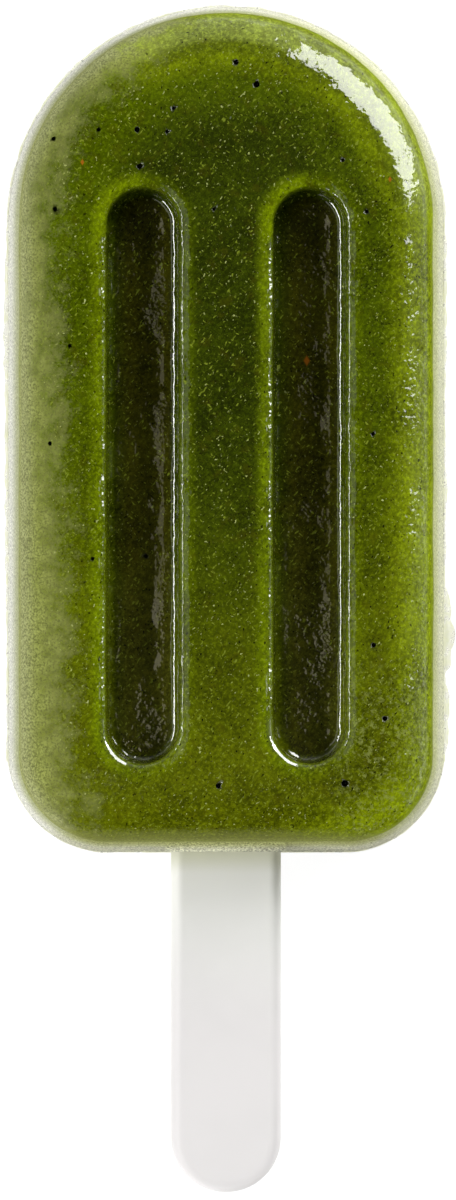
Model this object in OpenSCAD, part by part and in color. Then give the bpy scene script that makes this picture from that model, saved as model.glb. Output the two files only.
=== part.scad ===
// Ice pop frozen on a flat plastic stick, lying on its back.
// The ice is one block from an open-backed mould: a half-round top end, two
// rounded corners at the stick end, leaning side walls, a rounded front edge
// and two deep grooves in the front face. A thin skin of overflow runs round
// the back edge. The stick is frozen into the middle of the ice.
// The origin is the centre of the ice's back face, +Z is the front face, and
// +Y is the half-round end.

/* [Ice] */
// Width of the ice across its back face
ice_w = 52; // [46:0.5:60]
// Length of the ice, from the half-round end to the stick end
ice_l = 100.8; // [92:0.2:116]
// Thickness of the ice, from back face to front face
ice_t = 22; // [20:0.5:26]
// Radius of the two corners at the stick end, at the back face
corner_r = 12; // [10:0.5:16]
// Lean of the side walls in degrees, which lets the ice leave its mould
side_draft = 6; // [3:0.5:8]
// Radius of the round between the side walls and the front face
front_r = 6; // [3:0.25:6.5]

/* [Grooves] */
// Width of a groove at its mouth, before the rim is rounded
groove_w = 8.3; // [7:0.1:10]
// Length of a groove at its mouth, before the rims are rounded
groove_l = 67.2; // [50:0.2:72]
// Depth of a groove below the front face
groove_d = 5; // [4:0.25:6.5]
// Distance between the centre lines of the two grooves
groove_pitch = 19.5; // [15:0.1:21]
// Distance from the stick end of the ice to the near end of a groove
groove_start = 11; // [10:0.1:14]
// Lean of the groove walls in degrees
groove_draft = 2; // [1:0.5:8]
// Radius of the rounded rim round a groove's mouth
rim_r = 1.5; // [0.5:0.1:2]
// Radius between a groove's wall and its floor
floor_r = 1.1; // [0.5:0.1:1.5]

/* [Skin of overflow] */
// Thickness of the skin of ice that spread under the mould's lid
skin_t = 0.5; // [0.3:0.1:1]
// How far the skin stands out all round the back edge
skin_w = 0.25; // [0.1:0.05:0.6]

/* [Stick] */
// Width of the stick, which is also the diameter of its round ends
stick_w = 13; // [10:0.5:16]
// Thickness of the stick
stick_t = 4; // [3:0.25:5]
// Length of stick that stands out of the ice, to hold it by
stick_out = 40; // [30:0.5:55]
// Length of stick that is frozen into the ice
stick_in = 66; // [55:1:75]
// Radius along the stick's edges
stick_edge_r = 1.4; // [0.5:0.1:1.5]
// Height of the stick's middle plane above the ice's back face
stick_z = 9; // [6:0.25:10]
// Diameter of the holes that the ice freezes through
anchor_d = 5; // [3:0.25:7]
// Number of those holes
anchor_count = 2; // [1:1:3]
// Distance between those holes, and from the first to the round end's centre
anchor_pitch = 16; // [12:0.5:20]

/* [Hidden] */
$fn = 96;

// Centre of the half-round end, and the line through the two corner centres
dome_y = ice_l / 2 - ice_w / 2;
corner_y = corner_r - ice_l / 2;
corner_x = ice_w / 2 - corner_r;

// Centre line of a groove, and the centres of its two round ends
groove_x = groove_pitch / 2;
groove_low_y = -ice_l / 2 + groove_start + groove_w / 2;
groove_high_y = groove_low_y + groove_l - groove_w;
// Flat left between a groove's rim and the round of the front edge, and the
// radius of the rim, which the land outside the groove limits
rim_clearance = 0.3;
land = arc_x(ice_w / 2) - groove_x - groove_w / 2;
rim = min(rim_r, land - rim_clearance);
// How far the groove's cutter reaches above the front face
cut_over = 1;

// Wider lips of the skin: side, distance from the stick end to the lip's
// middle, length along the edge, and reach beyond the ice
skin_lips = [
    [1, 26.5, 10, 1.05],
    [1, 16, 8, 0.6],
    [1, 43.5, 4, 0.5],
    [1, 66, 16, 0.4],
    [-1, 62, 18, 0.55],
    [-1, 42, 26, 0.4],
];

// Centres of the stick's two round ends
stick_top_y = -ice_l / 2 + stick_in - stick_w / 2;
stick_end_y = -ice_l / 2 - stick_out + stick_w / 2;

// A section carried along Y between two places. It is laid from both ends and
// overlaps in the middle, so that each end lies exactly in its neighbour's plane.
module along_y(low, high) {
    reach = 0.75 * (high - low);
    translate([0, high]) rotate([90, 0, 0]) linear_extrude(reach) children();
    translate([0, low]) mirror([0, 1]) rotate([90, 0, 0]) linear_extrude(reach) children();
}

// The mould

// Where the arc of the front edge starts, on an ice that is reach wide
function arc_x(reach) =
    reach - (ice_t - front_r) * tan(side_draft) - front_r / cos(side_draft);

// Half of a section through the ice, out from an axis that lies reach inside
// its back edge: a leaning wall that runs into the front face in an arc
module ice_section(reach) {
    arc_z = ice_t - front_r;
    x = arc_x(reach);
    polygon([
        [0, 0],
        [reach, 0],
        [x + front_r * cos(side_draft), arc_z + front_r * sin(side_draft)],
        [x, arc_z],
        [x, ice_t],
        [0, ice_t],
    ]);
    translate([x, arc_z]) slice(front_r, side_draft, 90);
}

// A slice of a disc, from one angle to another that is up to 180 degrees on
module slice(r, from, to) {
    intersection() {
        circle(r);
        polygon([[0, 0], for (a = [from, (from + to) / 2, to]) 2 * r * [cos(a), sin(a)]]);
    }
}

// The ice as it fills the mould, before the grooves
module ice_block() {
    translate([0, dome_y]) rotate_extrude(angle = 180) ice_section(ice_w / 2);
    along_y(corner_y, dome_y)
        for (side = [0, 1]) mirror([side, 0]) ice_section(ice_w / 2);
    for (side = [0, 1]) mirror([side, 0, 0])
        translate([corner_x, corner_y]) rotate(-90) rotate_extrude(angle = 90)
            ice_section(corner_r);
    translate([corner_x, corner_y]) rotate([90, 0, -90]) linear_extrude(2 * corner_x)
        ice_section(corner_r);
}

// Half of a section through the ridge that forms a groove, out from the axis
// of its round end. The ridge flares out at the front face to round the rim.
module groove_section() {
    floor_z = ice_t - groove_d;
    foot_z = floor_z + floor_r;
    foot_x = wall_x(foot_z) - floor_r / cos(groove_draft);
    rim_z = ice_t - rim;
    rim_x = wall_x(rim_z) + rim / cos(groove_draft);
    difference() {
        polygon([
            [0, floor_z],
            [foot_x, floor_z],
            [foot_x, foot_z],
            [foot_x + floor_r * cos(groove_draft), foot_z - floor_r * sin(groove_draft)],
            [rim_x - rim * cos(groove_draft), rim_z + rim * sin(groove_draft)],
            [rim_x, rim_z],
            [rim_x, ice_t + cut_over],
            [0, ice_t + cut_over],
        ]);
        translate([rim_x, rim_z]) slice(rim, 90, 180 - groove_draft);
    }
    translate([foot_x, foot_z]) slice(floor_r, -90, -groove_draft);
}

// Half the width of a groove at height z, from its leaning wall
function wall_x(z) = groove_w / 2 - (ice_t - z) * tan(groove_draft);

// One groove, as the solid ridge in the mould that forms it
module groove() {
    translate([0, groove_high_y]) rotate_extrude(angle = 180) groove_section();
    translate([0, groove_low_y]) rotate(180) rotate_extrude(angle = 180) groove_section();
    along_y(groove_low_y, groove_high_y)
        for (side = [0, 1]) mirror([side, 0]) groove_section();
}

// The outline of the ice's back face, grown outwards by a margin
module back_outline(grow) {
    translate([0, dome_y]) slice(ice_w / 2 + grow, 0, 180);
    translate([-ice_w / 2 - grow, corner_y]) square([ice_w + 2 * grow, dome_y - corner_y]);
    for (side = [0, 1]) mirror([side, 0])
        translate([corner_x, corner_y]) slice(corner_r + grow, -90, 0);
    translate([-corner_x, -ice_l / 2 - grow]) square([2 * corner_x, corner_r + grow]);
}

// A lip is the part of a wide, shallow circle that shows beyond one long side
module lip(side, along, length, reach) {
    lip_r = (pow(length / 2, 2) + pow(reach, 2)) / (2 * reach);
    mirror([side < 0 ? 1 : 0, 0]) intersection() {
        translate([ice_w / 2 + reach - lip_r, along - ice_l / 2]) circle(lip_r);
        translate([corner_x, corner_y]) square([corner_r + reach, dome_y - corner_y]);
    }
}

// The thin skin of overflow round the back edge
module skin() {
    linear_extrude(skin_t) {
        back_outline(skin_w);
        for (l = skin_lips) lip(l[0], l[1], l[2], l[3]);
    }
}

// The stick

// Half of a section across the stick, out from its middle line
module stick_section() {
    reach = stick_w / 2;
    flat_z = stick_t / 2 - stick_edge_r;
    translate([0, -stick_t / 2]) square([reach - stick_edge_r, stick_t]);
    translate([0, -flat_z]) square([reach, 2 * flat_z]);
    for (side = [0, 1]) mirror([0, side])
        translate([reach - stick_edge_r, flat_z]) slice(stick_edge_r, 0, 90);
}

// The stick's outer form, which is also the pocket that it leaves in the ice
module stick_form() {
    translate([0, 0, stick_z]) {
        translate([0, stick_top_y]) rotate_extrude(angle = 180) stick_section();
        translate([0, stick_end_y]) rotate(180) rotate_extrude(angle = 180) stick_section();
        along_y(stick_end_y, stick_top_y)
            for (side = [0, 1]) mirror([side, 0]) stick_section();
    }
}

// The round holes near the stick's hidden end
module anchor_holes() {
    for (i = [0 : anchor_count - 1])
        translate([0, stick_top_y - i * anchor_pitch, stick_z])
            cylinder(d = anchor_d, h = 2 * stick_t, center = true);
}

module stick_body() {
    difference() {
        stick_form();
        anchor_holes();
    }
}

// The nodes

module ice() {
    color([0.36, 0.45, 0.06]) difference() {
        union() {
            ice_block();
            skin();
        }
        for (side = [-1, 1]) translate([side * groove_x, 0]) groove();
        stick_body();
    }
}

module stick() {
    color([0.93, 0.93, 0.92]) stick_body();
}

ice();
stick();
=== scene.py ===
import math

import bmesh
import bpy
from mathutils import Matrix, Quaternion, Vector, noise


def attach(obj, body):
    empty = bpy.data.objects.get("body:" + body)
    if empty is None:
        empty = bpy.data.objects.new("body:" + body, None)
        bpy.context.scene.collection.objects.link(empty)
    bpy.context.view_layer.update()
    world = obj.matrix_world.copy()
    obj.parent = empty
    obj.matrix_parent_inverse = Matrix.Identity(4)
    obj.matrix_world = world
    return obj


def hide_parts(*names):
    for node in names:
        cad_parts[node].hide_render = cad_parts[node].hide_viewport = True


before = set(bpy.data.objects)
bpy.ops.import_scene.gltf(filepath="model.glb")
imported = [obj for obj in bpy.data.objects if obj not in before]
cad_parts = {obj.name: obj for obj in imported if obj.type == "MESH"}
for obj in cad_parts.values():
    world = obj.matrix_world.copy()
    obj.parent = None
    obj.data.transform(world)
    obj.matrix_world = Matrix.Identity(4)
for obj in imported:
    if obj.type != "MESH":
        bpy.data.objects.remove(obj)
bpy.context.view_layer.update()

# The camera, which looks straight down on the pop as it lies on its back. It
# hangs 1.15 m above the table, over the middle of the ice and the stick.

MM = 0.001
SENSOR = 36
camera_height = 1150 * MM
seen_length = 143.16 * MM

camera_data = bpy.data.cameras.new("camera")
camera_data.sensor_width = SENSOR
camera_data.lens = SENSOR * camera_height / seen_length
camera_data.clip_start = 10 * MM
camera = bpy.data.objects.new("camera", camera_data)
camera.location = (0.24 * MM, -20.34 * MM, camera_height)
bpy.context.scene.collection.objects.link(camera)
bpy.context.scene.camera = camera
bpy.context.scene.view_settings.view_transform = "Standard"

# The table and the room. The table is a white board, and the room above it is
# dark overhead and at the stick end, and pale low down elsewhere, so that the
# flat ice face mirrors nothing.

board_reach = 6


def wire(tree, socket, value):
    """Gives a node's input a number, a colour or another node's output."""
    if isinstance(value, bpy.types.NodeSocket):
        tree.links.new(value, socket)
    else:
        socket.default_value = value


def calc(tree, operation, first, *others):
    """One kind of sum on numbers or outputs, worked from the first to the last."""
    result = first
    for other in others or (0,):
        node = tree.nodes.new("ShaderNodeMath")
        node.operation = operation
        wire(tree, node.inputs[0], result)
        wire(tree, node.inputs[1], other)
        result = node.outputs[0]
    return result


def seen_directly(tree):
    """1 for what is seen straight, in a mirror or through glass, and 0 for other light."""
    path = tree.nodes.new("ShaderNodeLightPath")
    straight = path.outputs["Is Camera Ray"]
    mirrored = path.outputs["Is Glossy Ray"]
    through = path.outputs["Is Transmission Ray"]
    return calc(tree, "MAXIMUM", straight, mirrored, through)


bpy.ops.object.select_all(action="DESELECT")
bpy.ops.mesh.primitive_plane_add(size=2 * board_reach)
board = bpy.context.object
board.name = "board"
white_board = bpy.data.materials.new("white_board")
white_board.use_nodes = True
tree = white_board.node_tree
tree.nodes.clear()
matt = tree.nodes.new("ShaderNodeBsdfDiffuse")
matt.inputs["Color"].default_value = (0.8, 0.8, 0.8, 1)
veil = tree.nodes.new("ShaderNodeBsdfDiffuse")
veil.inputs["Color"].default_value = (0.2, 0.2, 0.2, 1)
glow = tree.nodes.new("ShaderNodeEmission")
glow.inputs["Strength"].default_value = 0.93
lit = tree.nodes.new("ShaderNodeAddShader")
tree.links.new(veil.outputs[0], lit.inputs[0])
tree.links.new(glow.outputs[0], lit.inputs[1])
either = tree.nodes.new("ShaderNodeMixShader")
wire(tree, either.inputs["Fac"], seen_directly(tree))
tree.links.new(matt.outputs[0], either.inputs[1])
tree.links.new(lit.outputs[0], either.inputs[2])
surface = tree.nodes.new("ShaderNodeOutputMaterial")
tree.links.new(either.outputs[0], surface.inputs["Surface"])
board.data.materials.append(white_board)

room = bpy.data.worlds.new("room")
bpy.context.scene.world = room
room.use_nodes = True
tree = room.node_tree
tree.nodes.clear()
where = tree.nodes.new("ShaderNodeTexCoord")
axes = tree.nodes.new("ShaderNodeSeparateXYZ")
tree.links.new(where.outputs["Generated"], axes.inputs[0])
dusk = tree.nodes.new("ShaderNodeValToRGB")
dusk.color_ramp.elements[0].position = 0.0
dusk.color_ramp.elements[0].color = (0.5, 0.5, 0.5, 1)
dusk.color_ramp.elements[1].position = 1.0
dusk.color_ramp.elements[1].color = (0.012, 0.012, 0.012, 1)
for height, grey in ((0.35, 0.22), (0.7, 0.05), (0.9, 0.012)):
    dusk.color_ramp.elements.new(height).color = (grey, grey, grey, 1)
near_side = calc(tree, "MULTIPLY", -1, calc(tree, "MINIMUM", 0, axes.outputs["Y"]))
tree.links.new(calc(tree, "ADD", axes.outputs["Z"], near_side), dusk.inputs["Fac"])
air = tree.nodes.new("ShaderNodeBackground")
tree.links.new(dusk.outputs["Color"], air.inputs["Color"])
paper = tree.nodes.new("ShaderNodeBackground")
paper.inputs["Color"].default_value = (1, 1, 1, 1)
either = tree.nodes.new("ShaderNodeMixShader")
path = tree.nodes.new("ShaderNodeLightPath")
tree.links.new(path.outputs["Is Camera Ray"], either.inputs["Fac"])
tree.links.new(air.outputs[0], either.inputs[1])
tree.links.new(paper.outputs[0], either.inputs[2])
surface = tree.nodes.new("ShaderNodeOutputWorld")
tree.links.new(either.outputs[0], surface.inputs["Surface"])


def softbox(name, compass, distance, height, width, tall, brightness, roll=0):
    """A lamp with a large white face, aimed at the middle of the pop."""
    data = bpy.data.lights.new(name, "AREA")
    data.shape = "RECTANGLE"
    data.size = width
    data.size_y = tall
    data.energy = brightness * math.pi * width * tall
    lamp = bpy.data.objects.new(name, data)
    turn = math.radians(compass)
    lamp.location = (distance * math.cos(turn), distance * math.sin(turn), height)
    aim = -Vector(lamp.location)
    facing = aim.to_track_quat("-Z", "Y")
    lamp.rotation_euler = (facing @ Quaternion((0, 0, 1), math.radians(roll))).to_euler()
    lamp.visible_camera = False
    bpy.context.scene.collection.objects.link(lamp)
    return lamp


softbox("lamp_right", 40, 0.6, 0.31, 0.62, 0.39, 5.8, 18)
softbox("lamp_left", 192, 0.56, 0.41, 0.72, 0.1, 16)
softbox("lamp_high", 190, 0.26, 0.64, 0.5, 0.2, 0.95)
softbox("lamp_foot", 276, 0.6, 0.15, 0.7, 0.14, 5.2)

# The ice: one block of frozen green puree, cast in an open-backed silicone
# mould. Its walls lean by 6 degrees and run over a knee and a wide shoulder into
# the front face, and two ridges of the mould left the two grooves.

ICE_W = 52 * MM
ICE_L = 100.8 * MM
ICE_T = 22 * MM
CORNER_R = 12 * MM
SHOULDER_IN = 8.4 * MM
SHOULDER_R = 8.2 * MM
KNEE_R = 2.42 * MM
KNEE_TURN = math.radians(45)
WALL_LEAN = math.radians(6)
GROOVE_X = 9.78 * MM
GROOVE_LOW = -35.25 * MM
GROOVE_HIGH = 23.65 * MM
GROOVE_D = 5 * MM
GROOVE_LEAN = math.radians(0.5)
LIP_X = 5.82 * MM
LIP_R = 3 * MM
LIP_TURN = math.radians(20)
RIM_R = 0.85 * MM
FOOT_R = 1.05 * MM
grain = 0.27 * MM
most_triangles = 176000


def pick(shape, wanted):
    """Selects the vertices at wanted places, and the edges and faces between them."""
    bpy.ops.mesh.select_mode(type="VERT")
    bpy.ops.mesh.select_all(action="DESELECT")
    mesh = bmesh.from_edit_mesh(shape.data)
    for vertex in mesh.verts:
        if wanted(vertex.co):
            vertex.select_set(True)
    mesh.select_flush(True)
    bmesh.update_edit_mesh(shape.data)


def round_plate(name, width, low, high, low_r, high_r, z):
    """A flat plate with rounded corners, left in edit mode with its face selected."""
    bpy.ops.object.select_all(action="DESELECT")
    bpy.ops.mesh.primitive_plane_add(size=1, location=(0, (low + high) / 2, z))
    plate = bpy.context.object
    plate.name = name
    plate.scale = (width, high - low, 1)
    bpy.ops.object.transform_apply(location=True, rotation=False, scale=True)
    bpy.ops.object.mode_set(mode="EDIT")
    for end, radius in ((low, low_r), (high, high_r)):
        pick(plate, lambda co: abs(co.y - end) < 0.01 * MM)
        bpy.ops.mesh.bevel(
            offset=radius, segments=36, affect="VERTICES", clamp_overlap=False
        )
        bpy.ops.mesh.select_all(action="SELECT")
        bpy.ops.mesh.remove_doubles(threshold=0.005 * MM)
    bpy.ops.mesh.select_mode(type="FACE")
    bpy.ops.mesh.select_all(action="SELECT")
    return plate


def follow(steps):
    """Draws the selected face along a section's steps of inset and depth, and closes the back."""
    for inward, onward in steps:
        bpy.ops.mesh.inset(
            thickness=inward, depth=onward, use_boundary=True, use_even_offset=True
        )
    bpy.ops.mesh.select_mode(type="EDGE")
    bpy.ops.mesh.select_all(action="DESELECT")
    bpy.ops.mesh.select_non_manifold()
    bpy.ops.mesh.edge_face_add()
    bpy.ops.mesh.select_all(action="SELECT")
    bpy.ops.mesh.normals_make_consistent(inside=False)
    bpy.ops.object.mode_set(mode="OBJECT")


def section_steps(points):
    """The steps of inset and depth between the points of a section."""
    return [(a[0] - b[0], abs(b[1] - a[1])) for a, b in zip(points, points[1:])]


def arc(x, z, radius, start, end, steps):
    """Points round an arc, from one turn away from upright to another."""
    turns = [start + (end - start) * i / steps for i in range(steps + 1)]
    return [(x + radius * math.sin(turn), z + radius * math.cos(turn)) for turn in turns]


# From the back edge up the wall, round the knee and over the shoulder.
shoulder_x = ICE_W / 2 - SHOULDER_IN
shoulder_z = ICE_T - SHOULDER_R
knee_x = shoulder_x + (SHOULDER_R - KNEE_R) * math.sin(KNEE_TURN)
knee_z = shoulder_z + (SHOULDER_R - KNEE_R) * math.cos(KNEE_TURN)
block_section = [
    (ICE_W / 2 - z * math.tan(WALL_LEAN), z) for z in (0, 4 * MM, 8 * MM, 12 * MM, 16 * MM)
]
block_section += arc(knee_x, knee_z, KNEE_R, math.pi / 2 - WALL_LEAN, KNEE_TURN, 14)[1:]
block_section += arc(shoulder_x, shoulder_z, SHOULDER_R, KNEE_TURN, 0, 16)[1:]
ice_form = round_plate("ice_form", ICE_W, -ICE_L / 2, ICE_L / 2, CORNER_R, ICE_W / 2, 0)
follow(section_steps(block_section))

# From above the ice down over a groove's lip and rim, its wall and its foot.
steep = math.pi / 2 - GROOVE_LEAN
ridge_section = [(LIP_X + 0.02 * MM, ICE_T + 1 * MM)]
ridge_section += arc(LIP_X, ICE_T - LIP_R, LIP_R, 0, -LIP_TURN, 6)
rim_x = LIP_X - (LIP_R - RIM_R) * math.sin(LIP_TURN)
rim_z = ICE_T - LIP_R + (LIP_R - RIM_R) * math.cos(LIP_TURN)
ridge_section += arc(rim_x, rim_z, RIM_R, -LIP_TURN, -steep, 10)[1:]
wall_x, wall_z = ridge_section[-1]
floor_z = ICE_T - GROOVE_D
foot_top = floor_z + FOOT_R * (1 - math.sin(GROOVE_LEAN))
wall_foot = wall_x - (wall_z - foot_top) * math.tan(GROOVE_LEAN)
foot_x = wall_foot - FOOT_R * math.cos(GROOVE_LEAN)
ridge_section += arc(foot_x, floor_z + FOOT_R, FOOT_R, math.pi - steep, math.pi, 9)
# The floor sinks a little towards its middle, as the face of a soft ridge does.
for inward, depth in ((0.4, 0.05), (1, 0.14), (1.9, 0.21), (2.8, 0.23)):
    ridge_section.append((foot_x - inward * MM, floor_z - depth * MM))

ridge_r, ridge_top = ridge_section[0]
ridge = round_plate(
    "ridge", 2 * ridge_r, GROOVE_LOW - ridge_r, GROOVE_HIGH + ridge_r, ridge_r, ridge_r, ridge_top
)
bpy.ops.mesh.flip_normals()
follow(section_steps(ridge_section))


def only(shape):
    """Selects one object and nothing else."""
    bpy.ops.object.select_all(action="DESELECT")
    bpy.context.view_layer.objects.active = shape
    shape.select_set(True)


def twin(shape, name):
    """A copy of a form, with a mesh of its own."""
    copy = shape.copy()
    copy.data = shape.data.copy()
    copy.name = name
    copy.parent = None
    bpy.context.scene.collection.objects.link(copy)
    return copy


def carve(shape, cutter, operation="DIFFERENCE"):
    """Cuts one closed form out of another, or joins them, and deletes the cutter."""
    only(shape)
    modifier = shape.modifiers.new("carve", "BOOLEAN")
    modifier.operation = operation
    modifier.object = cutter
    modifier.solver = "EXACT"
    bpy.ops.object.modifier_apply(modifier=modifier.name)
    bpy.data.objects.remove(cutter)


def shift(shape, sideways):
    """Moves a form by changing its mesh, so that its object stays at the origin."""
    shape.location = (sideways, 0, 0)
    only(shape)
    bpy.ops.object.transform_apply(location=True, rotation=True, scale=True)


second_ridge = twin(ridge, "second_ridge")
shift(ridge, -GROOVE_X)
shift(second_ridge, GROOVE_X)
carve(ice_form, ridge)
carve(ice_form, second_ridge)

# The block gets an even grain of small faces, laid back on its exact form.
ice = twin(ice_form, "ice_body")
only(ice)
remesh = ice.modifiers.new("grain", "REMESH")
remesh.mode = "VOXEL"
remesh.voxel_size = grain
bpy.ops.object.modifier_apply(modifier=remesh.name)
wrap = ice.modifiers.new("wrap", "SHRINKWRAP")
wrap.target = ice_form
bpy.ops.object.modifier_apply(modifier=wrap.name)
bpy.data.objects.remove(ice_form)

# The thawed film on the ice runs in low waves, from a few millimetres down to
# less than one. The back lies flat on the table.
bpy.ops.object.mode_set(mode="EDIT")
pick(ice, lambda co: co.z > 0.3 * MM)
bpy.ops.object.mode_set(mode="OBJECT")
raised = [v.index for v in ice.data.vertices if v.select]
ice.vertex_groups.new(name="above_table").add(raised, 1, "REPLACE")
for name, width, rise in (("swell", 7, 0.16), ("wave", 2.2, 0.1), ("ripple", 0.9, 0.05)):
    pattern = bpy.data.textures.new(name, "CLOUDS")
    pattern.noise_scale = width * MM
    pattern.noise_depth = 1
    waves = ice.modifiers.new(name, "DISPLACE")
    waves.texture = pattern
    waves.texture_coords = "LOCAL"
    waves.strength = rise * MM
    waves.mid_level = 0.5
    waves.vertex_group = "above_table"
    bpy.ops.object.modifier_apply(modifier=waves.name)

thin = ice.modifiers.new("thin", "DECIMATE")
triangles = sum(len(f.vertices) - 2 for f in ice.data.polygons)
thin.ratio = min(1, most_triangles / triangles)
bpy.ops.object.modifier_apply(modifier=thin.name)

# Air bubbles that reached the mould: across, up and radius in millimetres.
bubbles = [
    (1.2, 42.6, 0.34),
    (3.6, 40.0, 0.38),
    (-6.1, 37.2, 0.2),
    (-14.9, 34.7, 0.24),
    (-10.4, 34.7, 0.33),
    (-6.9, 34.5, 0.22),
    (-20.2, 33.7, 0.28),
    (-10.1, 30.4, 0.33),
    (13.7, 31.1, 0.2),
    (-20.0, 25.4, 0.28),
    (16.5, 25.1, 0.2),
    (-1.4, 25.4, 0.2),
    (-18.3, 9.4, 0.22),
    (17.2, -0.9, 0.22),
    (-20.6, -2.0, 0.25),
    (-15.6, -15.5, 0.22),
    (-9.4, -15.2, 0.24),
    (17.3, -25.6, 0.26),
    (18.6, -34.2, 0.3),
    (-0.9, -42.1, 0.34),
    (13.9, -41.8, 0.42),
]


def top_of(shape, x, y):
    """A form's highest point at a place, and the way its surface faces there."""
    start = Vector((x, y, 50 * MM))
    _, place, normal, _ = shape.ray_cast(start, Vector((0, 0, -1)))
    return place, normal


balls = []
centres = []
for across, up, radius in bubbles:
    place, normal = top_of(ice, across * MM, up * MM)
    centres.append((place - normal * 0.45 * radius * MM, radius * MM))
    bpy.ops.object.select_all(action="DESELECT")
    bpy.ops.mesh.primitive_ico_sphere_add(
        subdivisions=2, radius=radius * MM, location=centres[-1][0]
    )
    balls.append(bpy.context.object)
bpy.ops.object.select_all(action="DESELECT")
for ball in balls:
    ball.select_set(True)
bpy.context.view_layer.objects.active = balls[0]
bpy.ops.object.join()
bpy.ops.object.transform_apply(location=True, rotation=True, scale=True)
carve(ice, balls[0])

# A low collar of ice stands round the stick, from the notch for it in the mould.
# Its front stands upright up to its edge, and leans back from there to its top.
COLLAR_W = 14.2 * MM
COLLAR_D = 3 * MM
COLLAR_FRONT = -50.05 * MM
COLLAR_LOW = 2 * MM
COLLAR_EDGE = 11.7 * MM
COLLAR_TOP = 16 * MM
COLLAR_LEAN = math.radians(22)
bpy.ops.object.select_all(action="DESELECT")
bpy.ops.mesh.primitive_cube_add(
    size=1, location=(0, COLLAR_FRONT + COLLAR_D / 2, (COLLAR_LOW + COLLAR_TOP) / 2)
)
collar = bpy.context.object
collar.scale = (COLLAR_W, COLLAR_D, COLLAR_TOP - COLLAR_LOW)
bpy.ops.object.transform_apply(location=True, rotation=False, scale=True)
bpy.ops.object.mode_set(mode="EDIT")
bpy.ops.mesh.select_all(action="SELECT")
bpy.ops.mesh.bisect(
    plane_co=(0, COLLAR_FRONT, COLLAR_EDGE),
    plane_no=(0, -math.cos(COLLAR_LEAN), math.sin(COLLAR_LEAN)),
    use_fill=True,
    clear_outer=True,
)
bpy.ops.object.mode_set(mode="OBJECT")
carve(ice, collar, "UNION")

# The stick's own form leaves the pocket that it is frozen into.
pocket = twin(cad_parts["stick"], "pocket")
only(pocket)
bpy.ops.object.mode_set(mode="EDIT")
bpy.ops.mesh.select_all(action="SELECT")
bpy.ops.mesh.remove_doubles(threshold=0.001 * MM)
bpy.ops.object.mode_set(mode="OBJECT")
carve(ice, pocket)

# The walls of the bubbles are marked, for the finish to paint them dark as painted shade in the
# pits.
bubble_mark = ice.data.attributes.new("bubble", "FLOAT", "POINT")
for vertex in ice.data.vertices:
    for centre, radius in centres:
        if (vertex.co - centre).length < 1.02 * radius:
            bubble_mark.data[vertex.index].value = 1
only(ice)
bpy.ops.object.shade_smooth()


def paint(red, green, blue):
    """A screen colour, from 0 to 255, as the linear colour that a shader takes."""
    parts = []
    for part in (red, green, blue):
        part = part / 255
        parts.append(part / 12.92 if part <= 0.04045 else ((part + 0.055) / 1.055) ** 2.4)
    return (*parts, 1)


def speckle(tree, place, size, detail=2, rough=0.5):
    """A cloudy pattern with patches of a given size in millimetres, from 0 to 1."""
    node = tree.nodes.new("ShaderNodeTexNoise")
    tree.links.new(place, node.inputs["Vector"])
    node.inputs["Scale"].default_value = 1 / size
    node.inputs["Detail"].default_value = detail
    node.inputs["Roughness"].default_value = rough
    return node.outputs["Fac"]


def ease(tree, value, low, high, start=0, end=1):
    """A value that goes softly from start to end as another goes from low to high."""
    node = tree.nodes.new("ShaderNodeMapRange")
    node.interpolation_type = "SMOOTHSTEP"
    wire(tree, node.inputs["Value"], value)
    node.inputs["From Min"].default_value = low
    node.inputs["From Max"].default_value = high
    node.inputs["To Min"].default_value = start
    node.inputs["To Max"].default_value = end
    return node.outputs["Result"]


def blend(tree, amount, under, over):
    """One colour laid over another."""
    node = tree.nodes.new("ShaderNodeMix")
    node.data_type = "RGBA"
    wire(tree, node.inputs[0], amount)
    wire(tree, node.inputs[6], under)
    wire(tree, node.inputs[7], over)
    return node.outputs[2]


def millimetres(tree, stretch=(1, 1, 1), turn=0, move=(0, 0, 0)):
    """The place on a piece in millimetres, for a pattern that is stretched, turned or moved."""
    where = tree.nodes.new("ShaderNodeTexCoord")
    node = tree.nodes.new("ShaderNodeMapping")
    node.vector_type = "TEXTURE"
    tree.links.new(where.outputs["Object"], node.inputs["Vector"])
    node.inputs["Scale"].default_value = [MM * s for s in stretch]
    node.inputs["Rotation"].default_value = (0, 0, math.radians(turn))
    node.inputs["Location"].default_value = [MM * m for m in move]
    return node.outputs["Vector"]


def times(tree, *values):
    """The product of numbers or outputs."""
    return calc(tree, "MULTIPLY", *values)


def plus(tree, *values):
    """The sum of numbers or outputs."""
    return calc(tree, "ADD", *values)


def minus(tree, value, taken):
    """What is left of one number or output when another is taken from it."""
    return calc(tree, "SUBTRACT", value, taken)


def largest(tree, *values):
    """The largest of some numbers or outputs."""
    return calc(tree, "MAXIMUM", *values)


def apart(tree, one_way, other_way):
    """How far a point is from a place, from its distances along two axes."""
    squares = [times(tree, leg, leg) for leg in (one_way, other_way)]
    return calc(tree, "SQRT", plus(tree, *squares))


def band(tree, value, low, full, fade, high):
    """1 where a value lies in a band, and softly down to 0 at both its sides."""
    return times(tree, ease(tree, value, low, full), ease(tree, value, fade, high, 1, 0))


def tinge(tree, colour, factor):
    """A colour made lighter or darker by a factor."""
    node = tree.nodes.new("ShaderNodeVectorMath")
    node.operation = "SCALE"
    wire(tree, node.inputs["Vector"], colour)
    wire(tree, node.inputs["Scale"], factor)
    return node.outputs["Vector"]


ice_finish = bpy.data.materials.new("green_ice")
ice_finish.use_nodes = True
tree = ice_finish.node_tree
shader = tree.nodes["Principled BSDF"]
place = millimetres(tree)
axes = tree.nodes.new("ShaderNodeSeparateXYZ")
tree.links.new(place, axes.inputs[0])
across, up, high = axes.outputs

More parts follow.
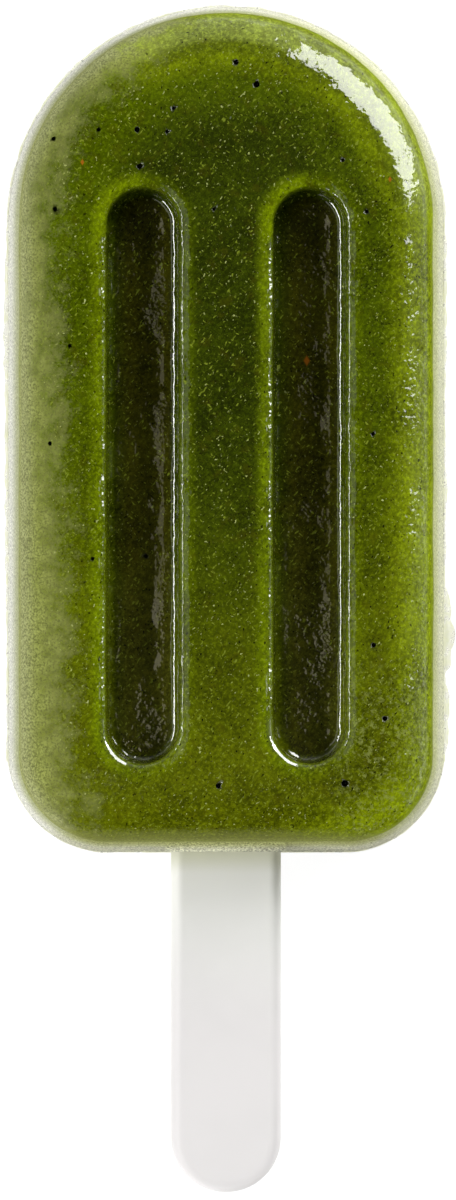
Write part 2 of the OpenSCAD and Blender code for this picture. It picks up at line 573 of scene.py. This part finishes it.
# How far a point is from the nearer groove's middle line, which runs from one
# round end's centre to the other, and on which side of that line it lies.
beside = minus(tree, across, times(tree, calc(tree, "SIGN", across), GROOVE_X / MM))
past_high = minus(tree, up, GROOVE_HIGH / MM)
past_low = minus(tree, GROOVE_LOW / MM, up)
from_groove = apart(tree, beside, largest(tree, 0, past_high, past_low))

# How far a point lies past the half-round end's centre, past the line through
# the two corner centres, and inside the outline of the back face.
past_dome = largest(tree, 0, minus(tree, up, (ICE_L - ICE_W) / 2 / MM))
side_out = minus(tree, calc(tree, "ABSOLUTE", across), (ICE_W / 2 - CORNER_R) / MM)
foot_out = minus(tree, (CORNER_R - ICE_L / 2) / MM, up)
past_foot = largest(tree, 0, foot_out)
from_corner = apart(tree, largest(tree, 0, side_out), past_foot)
within = calc(tree, "MINIMUM", 0, largest(tree, side_out, foot_out))
inside = calc(
    tree,
    "MINIMUM",
    minus(tree, ICE_W / 2 / MM, apart(tree, across, past_dome)),
    minus(tree, CORNER_R / MM, plus(tree, from_corner, within)),
)

# The puree is painted darkest along the middle of the block and paler near the walls
# and towards the stick: painted shade where little side light scatters in, and painted light near
# the walls and at the stick end.
core_shade = times(tree, ease(tree, inside, 9, 17), ease(tree, up, -42, 6, 0.15, 1))
green = blend(tree, ease(tree, up, -44, 12), paint(87, 96, 6), paint(72, 87, 3))
green = blend(tree, core_shade, green, paint(48, 59, 3))

# The shoulder is painted a brighter green on the right and round the half-round end,
# as painted light on the side that faces the lamp; deeper where the lamp mirrors in
# it, as painted shade under the highlight; and paler outside that, as a painted sheen.
leftward = calc(tree, "MINIMUM", across, 0)
crown = ease(tree, plus(tree, past_dome, times(tree, 0.8, leftward)), 8, 17)
lit_side = ease(tree, plus(tree, across, times(tree, past_dome, 1.3)), 5, 18)
lit_end = times(tree, lit_side, ease(tree, past_dome, 0, 4))
shoulder = ease(tree, minus(tree, inside, times(tree, crown, 1.3)), 3.4, 8.4, 1, 0)
lit_shoulder = times(tree, shoulder, lit_side)
lit_end_band = times(tree, lit_end, ease(tree, inside, 6.4, 10, 0.7, 0))
green = blend(tree, largest(tree, lit_shoulder, lit_end_band), green, paint(124, 140, 10))
highlight_shade = times(tree, 0.6, lit_end, band(tree, inside, 3.4, 4.4, 6.2, 7.2))
green = blend(tree, highlight_shade, green, paint(84, 96, 8))
sheen_band = times(tree, 0.75, band(tree, inside, 1.4, 2.4, 4.6, 5.6))
sheen_band = times(tree, sheen_band, largest(tree, crown, lit_end))
green = blend(tree, sheen_band, green, paint(140, 154, 58))

# The sunk floors of the grooves are painted darker and browner, as painted shade in the
# recesses, and lighter towards the stick end. Their rims are painted a brighter lime,
# most on the left rims, as painted light where they face the lamp on the right.
floor = times(tree, ease(tree, from_groove, 3, 3.6, 1, 0), ease(tree, high, 18, 20, 1, 0))
floor_shade = blend(tree, ease(tree, up, -36, 4), paint(80, 81, 20), paint(62, 62, 8))
left_part = ease(tree, beside, -3.2, -1.4, 0.5, 0)
floor_shade = blend(tree, left_part, floor_shade, paint(52, 66, 7))
green = blend(tree, floor, green, floor_shade)
lit_rim = times(tree, band(tree, from_groove, 4, 4.6, 5, 6.8), ease(tree, beside, -1, 1, 0.9, 0.35))
green = blend(tree, lit_rim, green, paint(106, 124, 5))

# Drifts, clots of leaf and fine pulp make it lighter and darker. The pulp lies
# in short strokes that run up to the right.
drift = speckle(tree, place, 12, 1)
clot = speckle(tree, place, 2.6, 3, 0.65)
pulp = speckle(tree, millimetres(tree, (1, 1.15, 1), -40, (7, 3, 1)), 0.42, 3, 0.75)
stroke = speckle(tree, millimetres(tree, (1, 2.6, 1), -42, (4, 8, 3)), 0.3, 2, 0.6)
shade = plus(
    tree,
    0.96,
    ease(tree, drift, 0.3, 0.7, -0.16, 0.16),
    ease(tree, clot, 0.3, 0.7, -0.2, 0.2),
    ease(tree, pulp, 0.4, 0.78, -0.2, 0.95),
    ease(tree, stroke, 0.35, 0.75, -0.1, 0.22),
)
green = tinge(tree, green, shade)
olive = speckle(tree, millimetres(tree, move=(31, 5, 2)), 1.7, 3, 0.6)
green = blend(tree, ease(tree, olive, 0.54, 0.7, 0, 0.3), green, paint(74, 68, 8))

# Light pulp fibres in two directions, painted glints that stand for small highlights,
# pale rime flecks at the lower right that are partly painted light there, and dark specks of
# leaf.
for turn, seed, width in ((-38, 3, 0.34), (50, 11, 0.24)):
    fibre = speckle(tree, millimetres(tree, (1, 2.4, 1), turn, (seed, 2 * seed, seed)), width, 1)
    fibre = plus(tree, fibre, times(tree, clot, 0.12))
    green = blend(tree, ease(tree, fibre, 0.72, 0.81, 0, 0.8), green, paint(132, 146, 44))
painted_glint = speckle(tree, millimetres(tree, (1, 1.5, 1), -35, (9, 2, 6)), 0.3, 1)
painted_glint = plus(tree, painted_glint, ease(tree, clot, 0.3, 0.7, 0.035, -0.035))
painted_glint = times(tree, ease(tree, painted_glint, 0.69, 0.8, 0, 0.95), ease(tree, floor, 0, 1, 1, 0.4))
green = blend(tree, painted_glint, green, paint(182, 190, 116))
rime_and_light = speckle(tree, millimetres(tree, move=(12, 3, 7)), 0.7, 3, 0.75)
lower_right = times(tree, ease(tree, across, 11, 17), ease(tree, up, -36, -24, 1, 0))
rime_and_light = times(tree, ease(tree, rime_and_light, 0.5, 0.66, 0, 0.55), lower_right)
green = blend(tree, rime_and_light, green, paint(154, 164, 84))
leaf = speckle(tree, millimetres(tree, (1, 1.3, 1), -20, (5, 1, 9)), 0.42, 1)
green = blend(tree, ease(tree, leaf, 0.68, 0.75, 0, 0.85), green, paint(30, 32, 1))

# Three flecks of orange peel: across, up and size in millimetres.
for fleck_across, fleck_up, size in ((-16.8, 30.9, 0.3), (19.2, 28.9, 0.3), (9.5, 7.8, 0.5)):
    wide = calc(tree, "ABSOLUTE", minus(tree, across, fleck_across))
    tall = calc(tree, "ABSOLUTE", minus(tree, up, fleck_up))
    fleck = ease(tree, plus(tree, wide, times(tree, 0.6, tall)), 0.4 * size, size, 0.9, 0)
    green = blend(tree, fleck, green, paint(168, 98, 24))

# Frost from the mould's wall is milky on the shoulder at the left, with a broken edge
# that reaches further in near the stick; its pale tone is partly a painted reflection of the lamp
# on the left.
gritty = ease(tree, speckle(tree, place, 0.26, 2, 0.6), 0.3, 0.7, -1, 1)
broken = plus(tree, inside, ease(tree, clot, 0.3, 0.7, -1.5, 1.5), gritty)
milk_sheen_reach = ease(tree, up, -40, 30, 8.8, 6.9)
slant = plus(
    tree,
    minus(tree, across, times(tree, past_dome, 0.35)),
    ease(tree, clot, 0.3, 0.7, -2.4, 2.4),
    times(tree, gritty, 0.7),
)
milk_and_sheen = times(
    tree,
    ease(tree, plus(tree, slant, times(tree, past_foot, 0.35)), -20, -11, 1, 0),
    ease(tree, minus(tree, broken, milk_sheen_reach), -5.2, 1.3, 1, 0),
)
milk_sheen_tone = blend(tree, ease(tree, inside, 1.5, 4.2), paint(164, 167, 120), paint(147, 154, 82))
green = blend(tree, times(tree, milk_and_sheen, 0.9), green, milk_sheen_tone)

# Frost is thinner on the knee, and silver on the walls, most of all low down. The pale knee,
# strongest on the left and at the stick end, and the silver walls are partly painted light and
# painted reflection of the white table; the walls are painted lighter round the half-round end,
# and the stick end darker, as painted shade.
edge = ease(tree, inside, 3.4, 4.6, 1, 0)
ragged = plus(tree, high, times(tree, gritty, 0.6))
rightward = ease(tree, minus(tree, across, times(tree, past_foot, 0.8)), -6, 14)
knee_side = ease(tree, rightward, 0, 1, 0.62, 0.2)
knee_foot = ease(tree, past_foot, 8.6, 10.2, 0, 0.75)
knee = times(
    tree,
    edge,
    largest(tree, knee_side, knee_foot),
    ease(tree, crown, 0, 1, 1, 0.5),
    ease(tree, plus(tree, ragged, ease(tree, past_foot, 7.8, 9.6, 0, -1.8)), 16, 20, 1, 0),
)
green = blend(tree, knee, green, paint(154, 159, 90))
wall = times(tree, edge, ease(tree, ragged, 14.6, 16.2, 1, 0))
low_wall = ease(tree, calc(tree, "MINIMUM", ragged, times(tree, inside, 9.5)), 3, 14)
silver_left = blend(tree, low_wall, paint(226, 226, 214), paint(178, 181, 142))
silver_right = blend(tree, low_wall, paint(214, 215, 188), paint(186, 190, 140))
silver_foot = blend(tree, low_wall, paint(222, 222, 196), paint(176, 180, 116))
silver = blend(tree, rightward, silver_left, silver_right)
silver = blend(tree, ease(tree, past_foot, 8.6, 10.4), silver, silver_foot)
green = blend(tree, wall, green, silver)
frost_and_sheen = largest(tree, milk_and_sheen, knee, wall)
grain_and_shade = plus(
    tree,
    ease(tree, past_foot, 8.8, 10.4, 1, 0.82),
    times(tree, 0.15, wall, crown),
    times(tree, 0.42, frost_and_sheen, gritty),
)
green = tinge(tree, green, grain_and_shade)

# The walls of the bubbles are painted dark, as painted shade in the pits.
hollow = tree.nodes.new("ShaderNodeAttribute")
hollow.attribute_name = "bubble"
in_hollow = hollow.outputs["Fac"]
green = blend(tree, in_hollow, green, paint(16, 20, 3))
tree.links.new(green, shader.inputs["Base Color"])

# Frosted places are rough and the rest is wet.
below_knee = times(tree, edge, ease(tree, high, 18.8, 20.2, 1, 0))
rough = largest(tree, milk_and_sheen, wall, times(tree, in_hollow, 0.05), times(tree, below_knee, 0.5))
tree.links.new(ease(tree, rough, 0.1, 0.4, 0.07, 0.65), shader.inputs["Roughness"])

# The film mirrors little where it has dried: on the left, below the knee, at
# the stick end, and in parts of the grooves. It mirrors most on the grooves'
# left lips, in the crescents at their lower ends, and round the half-round end.
left_foot = times(
    tree,
    band(tree, from_groove, 2.7, 3.1, 3.8, 4.1),
    ease(tree, beside, -2.6, -1.8, 1, 0),
    ease(tree, clot, 0.5, 0.62, 1, 0),
)
top_end = ease(tree, minus(tree, past_high, times(tree, beside, 0.9)), 1.6, 3)
dry = largest(
    tree,
    ease(tree, slant, -18, -11, 1, 0),
    below_knee,
    ease(tree, past_foot, 5, 6.6),
    left_foot,
    times(tree, top_end, ease(tree, from_groove, 5, 6, 1, 0)),
)
right_lip = times(tree, band(tree, from_groove, 4.5, 4.8, 5.8, 6.6), ease(tree, beside, 0, 1.5))
left_lip = times(
    tree, ease(tree, from_groove, 4.9, 5.4, 1, 0), ease(tree, beside, -4.3, -3.6, 1, 0)
)
crescent = times(
    tree,
    ease(tree, minus(tree, past_low, times(tree, beside, 0.8)), 2, 3.4),
    ease(tree, from_groove, 5, 5.6, 1, 0),
)
wet_end = largest(tree, ease(tree, up, -24, -17, 1, 0.45), ease(tree, up, 20, 23))
dry_floor = times(tree, floor, minus(tree, 1, wet_end))
mirror = times(
    tree,
    ease(tree, frost_and_sheen, 0, 0.14, 0.5, 0.08),
    ease(tree, in_hollow, 0, 1, 1, 0.25),
    ease(tree, dry, 0, 1, 1, 0),
    ease(tree, right_lip, 0, 1, 1, 0.4),
    ease(tree, crescent, 0, 1, 1, 2.2),
    ease(tree, lit_end, 0, 1, 1, 1.28),
    ease(tree, left_lip, 0, 1, 1, 2.3),
    ease(tree, dry_floor, 0, 1, 1, 0.25),
)
tree.links.new(mirror, shader.inputs["Specular IOR Level"])
shader.inputs["IOR"].default_value = 1.75
mirror_tone = blend(tree, floor, paint(255, 255, 255), paint(255, 246, 214))
tree.links.new(mirror_tone, shader.inputs["Specular Tint"])

# The film is dimpled all over, in clusters, with beads along the grooves' rims,
# and it lies in puddles and crystals on their floors.
pits = speckle(tree, place, 0.3, 1)
dimples = speckle(tree, place, 0.75, 1)
cluster = speckle(tree, millimetres(tree, move=(3, 17, 8)), 5, 1)
cluster = ease(tree, cluster, 0.38, 0.66, 0.35, 1)
crystal = speckle(tree, millimetres(tree, (1, 2, 1), 0, (6, 4, 5)), 6, 1)
crystal = ease(tree, crystal, 0.46, 0.6, 0.7, 3)
beads = times(
    tree,
    band(tree, from_groove, 4.1, 4.4, 4.7, 5.2),
    ease(tree, beside, -1, 1, 3.4, 1.2),
    ease(tree, crescent, 0, 0.6, 1, 0),
)
glitter = times(tree, lit_shoulder, ease(tree, up, 12, 20, 1.3, 0))
grip = times(tree, cluster, plus(tree, 1, beads, glitter))
grip = plus(tree, times(tree, grip, minus(tree, 1, floor)), times(tree, crystal, floor))
puddle = speckle(tree, millimetres(tree, (1, 1.5, 1), 0, (2, 9, 4)), 3.4, 2, 0.55)
puddle_depth = times(tree, ease(tree, from_groove, 2.4, 3.4, 3, 0), floor)
relief = plus(
    tree,
    times(tree, plus(tree, times(tree, pits, 0.2), dimples), grip),
    times(tree, puddle_depth, puddle),
)
bump = tree.nodes.new("ShaderNodeBump")
bump.inputs["Strength"].default_value = 1
bump.inputs["Distance"].default_value = 0.075 * MM
tree.links.new(relief, bump.inputs["Height"])
tree.links.new(bump.outputs["Normal"], shader.inputs["Normal"])
ice.data.materials.clear()
ice.data.materials.append(ice_finish)
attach(ice, "root")
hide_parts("ice")

# The skin of overflow: a film of ice that crept under the mould's lid and froze
# round the back edge. Its rim is ragged, with a few wider lips on the long sides.

SKIN_OUT = 0.25 * MM
SKIN_T = 0.4 * MM
skin_step = 0.35 * MM
# Wider lips: side, middle of the lip, length along the edge, reach
lips = [
    (1, -23.9 * MM, 10 * MM, 0.8 * MM),
    (1, -34.4 * MM, 8 * MM, 0.4 * MM),
    (1, -6.9 * MM, 4 * MM, 0.3 * MM),
    (1, 15.6 * MM, 16 * MM, 0.15 * MM),
    (-1, 11.6 * MM, 18 * MM, 0.3 * MM),
    (-1, -8.4 * MM, 26 * MM, 0.15 * MM),
]


def back_edge(step):
    """Points round the ice's back edge, each with the way out of the ice there."""
    corner_x, corner_y = ICE_W / 2 - CORNER_R, CORNER_R - ICE_L / 2
    arcs = [
        (corner_x, corner_y, CORNER_R, -90, 0),
        (0, ICE_L / 2 - ICE_W / 2, ICE_W / 2, 0, 180),
        (-corner_x, corner_y, CORNER_R, 180, 270),
    ]
    points = []
    for x, y, radius, start, end in arcs + arcs[:1]:
        out = Vector((math.cos(math.radians(start)), math.sin(math.radians(start))))
        if points:
            last = points[-1][0]
            leg = Vector((x, y)) + radius * out - last
            count = round(leg.length / step)
            points += [(last + leg * i / count, out) for i in range(1, count)]
        if len(points) > 1 and start == -90:
            break
        count = round(math.radians(end - start) * radius / step)
        for i in range(count + 1):
            turn = math.radians(start + (end - start) * i / count)
            out = Vector((math.cos(turn), math.sin(turn)))
            points.append((Vector((x, y)) + radius * out, out))
    return points


rings = []
for place, out in back_edge(skin_step):
    rough_edge = noise.noise(Vector((*place, 0)) / (1.7 * MM))
    fine_edge = noise.noise(Vector((*place, 0)) / (0.5 * MM))
    reach = SKIN_OUT * (0.8 + 0.6 * rough_edge + 0.3 * fine_edge)
    if out.y < -0.1:
        reach *= 0.4
    for side, middle, length, lip_reach in lips:
        along = 1 - (2 * (place.y - middle) / length) ** 2
        if side * place.x > 0 and along > 0:
            reach += lip_reach * math.sqrt(along) * (1 + 0.5 * rough_edge)
    inner, outer = place - out * 1.2 * MM, place + out * reach
    middle = place + out * 0.4 * reach
    rings.append(
        [
            (inner.x, inner.y, 0),
            (inner.x, inner.y, SKIN_T),
            (middle.x, middle.y, SKIN_T),
            (outer.x, outer.y, 0.25 * SKIN_T),
            (outer.x, outer.y, 0),
        ]
    )
skin_mesh = bpy.data.meshes.new("ice_skin")
size = len(rings[0])
corners = [corner for ring in rings for corner in ring]
faces = []
for i in range(len(rings)):
    a, b = size * i, size * ((i + 1) % len(rings))
    faces += [(a + j, b + j, b + (j + 1) % size, a + (j + 1) % size) for j in range(size)]
skin_mesh.from_pydata(corners, [], faces)
skin = bpy.data.objects.new("ice_skin", skin_mesh)
bpy.context.scene.collection.objects.link(skin)
only(skin)
bpy.ops.object.mode_set(mode="EDIT")
bpy.ops.mesh.select_all(action="SELECT")
bpy.ops.mesh.normals_make_consistent(inside=False)
bpy.ops.object.mode_set(mode="OBJECT")

skin_finish = bpy.data.materials.new("thin_ice")
skin_finish.use_nodes = True
tree = skin_finish.node_tree
shader = tree.nodes["Principled BSDF"]
place = millimetres(tree)
film = speckle(tree, place, 1.4, 3, 0.6)
thin_ice = blend(tree, ease(tree, film, 0.35, 0.65), paint(246, 246, 232), paint(240, 242, 206))
tree.links.new(thin_ice, shader.inputs["Base Color"])
tree.links.new(ease(tree, film, 0.3, 0.7, 0.2, 0.5), shader.inputs["Roughness"])
shader.inputs["Transmission Weight"].default_value = 0.5
shader.inputs["IOR"].default_value = 1.31
skin.data.materials.append(skin_finish)
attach(skin, "root")
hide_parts("ice")

# The stick: one flat white moulded plastic stick with round ends. Its hidden
# end has two holes, and its surface is satin from a fine-sparked mould.

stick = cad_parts["stick"]
stick_finish = bpy.data.materials.new("white_plastic")
stick_finish.use_nodes = True
tree = stick_finish.node_tree
shader = tree.nodes["Principled BSDF"]
place = millimetres(tree)
axes = tree.nodes.new("ShaderNodeSeparateXYZ")
tree.links.new(place, axes.inputs[0])
up = axes.outputs[1]
# The stick is painted lighter towards the ice, as painted light against the ice's shadow, and
# right at the ice greyer and greener, as painted shade with green light thrown from the ice.
lit_near_ice = ease(tree, up, -72, -54)
white = blend(tree, lit_near_ice, paint(244, 241, 240), paint(254, 254, 250))
white = blend(tree, ease(tree, up, -53, -50), white, paint(226, 227, 204))
cloud = speckle(tree, place, 9, 2)
white = blend(tree, ease(tree, cloud, 0.3, 0.7, 0, 0.12), white, paint(222, 221, 219))
tree.links.new(white, shader.inputs["Base Color"])
satin = speckle(tree, place, 0.12, 2)
tree.links.new(ease(tree, satin, 0.3, 0.7, 0.42, 0.52), shader.inputs["Roughness"])
bump = tree.nodes.new("ShaderNodeBump")
bump.inputs["Strength"].default_value = 0.25
bump.inputs["Distance"].default_value = 0.02 * MM
tree.links.new(satin, bump.inputs["Height"])
tree.links.new(bump.outputs["Normal"], shader.inputs["Normal"])
stick.data.materials.clear()
stick.data.materials.append(stick_finish)
